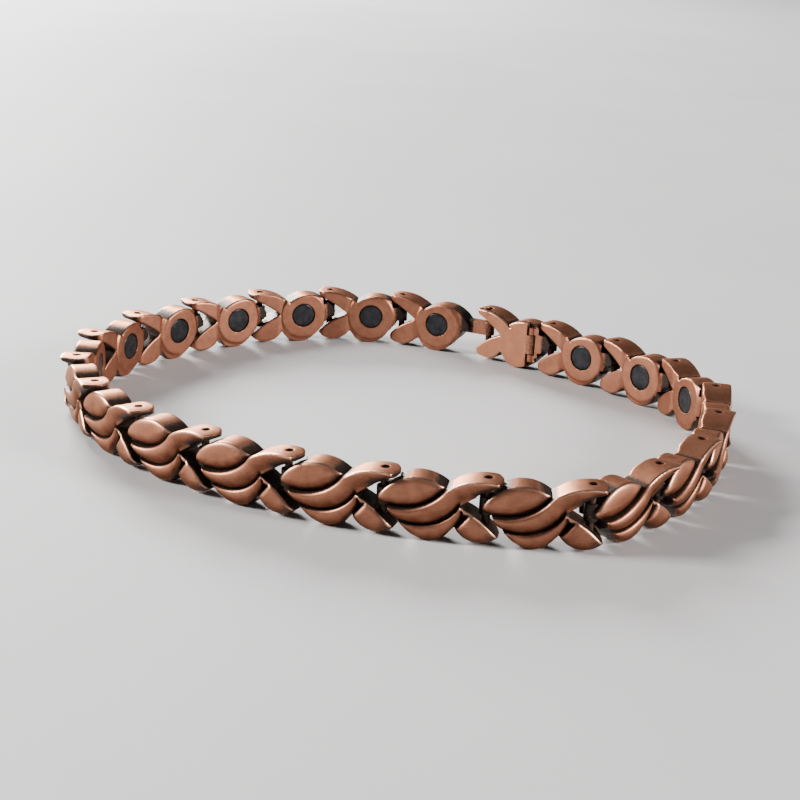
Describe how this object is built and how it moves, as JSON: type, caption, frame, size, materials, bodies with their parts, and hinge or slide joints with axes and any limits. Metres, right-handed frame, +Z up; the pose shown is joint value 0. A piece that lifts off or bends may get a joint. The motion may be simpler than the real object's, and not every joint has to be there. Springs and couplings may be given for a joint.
{
  "type": "magnetic bracelet",
  "caption": "Closed bracelet of cast leaf-and-vine links on pivot pins, with a round magnet inside each link and a fold-over clasp.",
  "frame": {"origin": "middle of the bounding box in plan, at the surface that the bracelet's lower edge rests on", "axes": "+Z up, along the pivot pins and across the band; +X along the loop's longest extent"},
  "size_m": [0.0756, 0.0712, 0.0067],
  "materials": {
    "link_copper": "antique copper, satin, with black in the recesses and burnished edges",
    "lever_copper": "antique copper, satin, plain",
    "pin_copper": "dark oxidised copper",
    "magnet": "dark grey, semi-gloss"
  },
  "bodies": {
    "root": {"link_01": "link_copper", "link_02": "link_copper", "link_03": "link_copper", "link_04": "link_copper", "link_05": "link_copper", "link_06": "link_copper", "link_07": "link_copper", "link_08": "link_copper", "link_09": "link_copper", "link_10": "link_copper", "link_11": "link_copper", "link_12": "link_copper", "link_13": "link_copper", "link_14": "link_copper", "link_15": "link_copper", "link_16": "link_copper", "link_17": "link_copper", "link_18": "link_copper", "link_19": "link_copper", "link_20": "link_copper", "link_21": "link_copper", "magnet_01": "magnet", "magnet_02": "magnet", "magnet_03": "magnet", "magnet_04": "magnet", "magnet_05": "magnet", "magnet_06": "magnet", "magnet_07": "magnet", "magnet_08": "magnet", "magnet_09": "magnet", "magnet_10": "magnet", "magnet_11": "magnet", "magnet_12": "magnet", "magnet_13": "magnet", "magnet_14": "magnet", "magnet_15": "magnet", "magnet_16": "magnet", "magnet_17": "magnet", "magnet_18": "magnet", "magnet_19": "magnet", "magnet_20": "magnet", "magnet_21": "magnet", "link_pins": "pin_copper", "clasp_link": "link_copper", "clasp_pin": "pin_copper"},
    "clasp_lever": {"clasp_lever": "lever_copper"}
  },
  "joints": [
    {"name": "clasp_lever_hinge", "type": "hinge", "parent": "root", "child": "clasp_lever", "pos_m": [0.01693, 0.02368, 0.0034], "axis": [0, 0, 1], "range_deg": [0, 100]}
  ]
}
